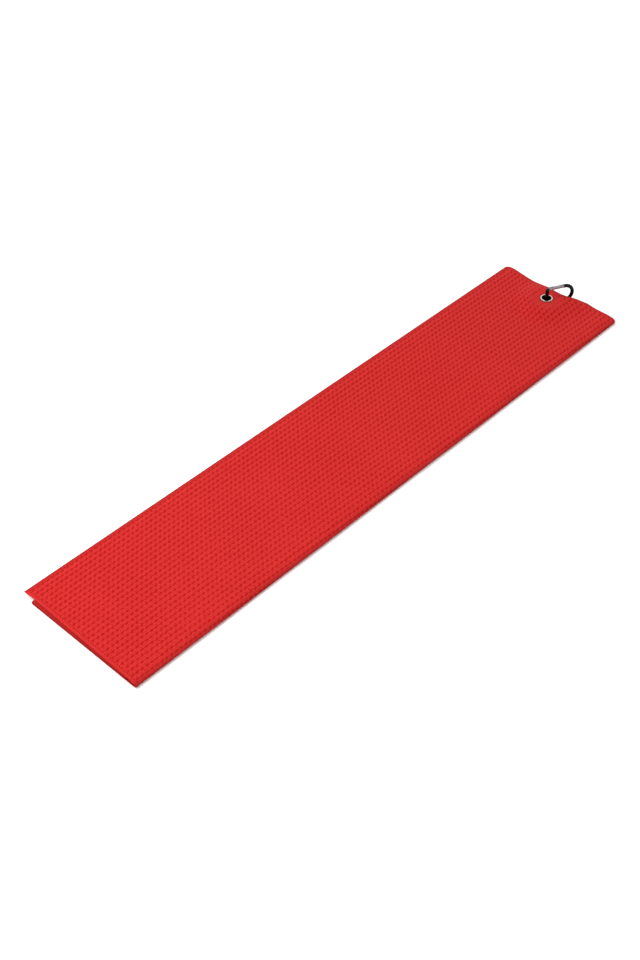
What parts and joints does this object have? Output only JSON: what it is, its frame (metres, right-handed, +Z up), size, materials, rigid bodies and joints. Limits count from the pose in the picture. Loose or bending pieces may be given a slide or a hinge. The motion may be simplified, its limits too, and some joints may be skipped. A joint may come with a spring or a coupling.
{
  "type": "golf towel",
  "caption": "Waffle golf towel folded in three lengthwise, with a metal grommet through all three layers and a small D-shaped spring-gate carabiner.",
  "frame": {"origin": "middle of the folded towel's underside, on the surface that it lies on", "axes": "+X across the towel to the rounded outer fold, +Y along it to the grommet end, +Z up"},
  "size_m": [0.1334, 0.6133, 0.0217],
  "materials": {
    "waffle_cloth": "matt red microfibre waffle weave",
    "hem_thread": "red polyester sewing thread",
    "grommet_metal": "bright nickel plate",
    "black_anodised": "satin black anodised",
    "bare_aluminium": "bright drawn",
    "spring_steel": "plain"
  },
  "bodies": {
    "towel": {"towel_cloth": "waffle_cloth", "hem_thread": "hem_thread", "grommet_eyelet": "grommet_metal", "grommet_washer": "grommet_metal"},
    "carabiner": {"carabiner_frame": "black_anodised", "gate_hinge_rivet": "spring_steel"},
    "gate": {"carabiner_gate": "bare_aluminium", "gate_latch_pin": "spring_steel", "gate_spring": "spring_steel"},
    "plunger": {"gate_plunger": "spring_steel"}
  },
  "joints": [
    {"name": "carabiner_swivel", "type": "hinge", "parent": "towel", "child": "carabiner", "pos_m": [0, 0.2805, 0], "axis": [0, 0, 1], "range_deg": [-2.5, 28.5]},
    {"name": "gate_hinge", "type": "hinge", "parent": "carabiner", "child": "gate", "pos_m": [0.00134, 0.28296, 0.01985], "axis": [-0.8788, 0.4772, 0], "range_deg": [0, 25], "stiffness_Nm_per_rad": 0.02, "springref_deg": -17.19},
    {"name": "plunger_slide", "type": "slide", "parent": "gate", "child": "plunger", "axis": [0.4772, 0.8788, 0], "range_m": [0, 0.0006], "deforming": ["gate_spring"]}
  ],
  "couplings": [
    {"joint": "plunger_slide", "follows": "gate_hinge", "m_per_rad": 0.001375}
  ]
}
